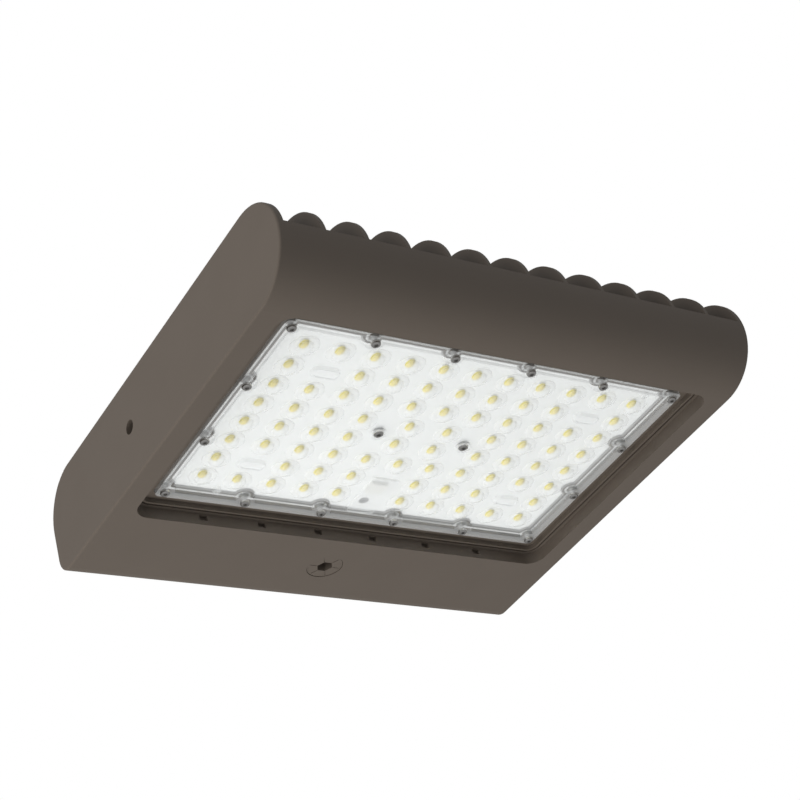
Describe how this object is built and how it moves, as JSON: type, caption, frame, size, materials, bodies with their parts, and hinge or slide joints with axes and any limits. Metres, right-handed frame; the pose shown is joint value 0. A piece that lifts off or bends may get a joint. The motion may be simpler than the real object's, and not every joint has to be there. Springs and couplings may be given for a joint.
{
  "type": "led flood light",
  "caption": "Flat LED flood light: finned die-cast body with a round nose, domed clear lens plate in a stepped recess, hinged rear driver cover and threaded sensor plug.",
  "frame": {"origin": "bottom centre of the body, in the plane of the lens face", "axes": "+Z away from the lens face towards the fins, +Y from the nose towards the driver compartment, +X across the light"},
  "size_m": [0.31, 0.284, 0.062],
  "materials": {
    "bronze_coat": "satin",
    "plug_bronze": "satin",
    "clear_lens": "gloss",
    "board_white": "satin",
    "phosphor": "satin",
    "white_plastic": "matte",
    "pad": "matte",
    "rubber_black": "matte",
    "rubber_grey": "matte",
    "silicone_white": "matte",
    "steel": "satin",
    "driver_case": "satin",
    "arrester_red": "matte",
    "green_screw": "satin",
    "terminal_grey": "matte",
    "terminal_brass": "satin",
    "black_nylon": "matte"
  },
  "bodies": {
    "body": {"arrester_screws": "steel", "board_connector": "white_plastic", "board_screws": "steel", "bracket_nuts": "steel", "driver": "driver_case", "driver_screws": "steel", "gland_body": "black_nylon", "gland_insert": "rubber_black", "gland_locknut": "black_nylon", "gland_nut": "black_nylon", "ground_screw": "green_screw", "hinge_pins": "steel", "housing": "bronze_coat", "lead_grommet": "rubber_grey", "led_board": "board_white", "leds": "phosphor", "lens": "clear_lens", "lens_gasket": "silicone_white", "lens_screws": "steel", "pressure_vent": "black_nylon", "surge_arrester": "arrester_red", "terminal_block": "terminal_grey", "terminal_screws": "terminal_brass", "thermal_pad": "pad"},
    "cover": {"driver_cover": "bronze_coat", "cover_gasket": "rubber_grey", "cover_screws": "steel"},
    "seal": {"plug_seal": "rubber_black"},
    "plug": {"sensor_plug": "plug_bronze"}
  },
  "joints": [
    {"name": "cover_hinge", "type": "hinge", "parent": "body", "child": "cover", "pos_m": [0, 0.028, 0.0575], "axis": [1, 0, 0], "range_deg": [0, 100]},
    {"name": "plug_travel", "type": "slide", "parent": "body", "child": "seal", "axis": [0, 0, -1], "range_m": [0, 0.012]},
    {"name": "plug_turn", "type": "hinge", "parent": "seal", "child": "plug", "pos_m": [0, 0.1001, 0], "axis": [0, 0, -1], "range_deg": [0, 2880]}
  ],
  "couplings": [
    {"joint": "plug_travel", "follows": "plug_turn", "m_per_rad": 0.00023873}
  ]
}
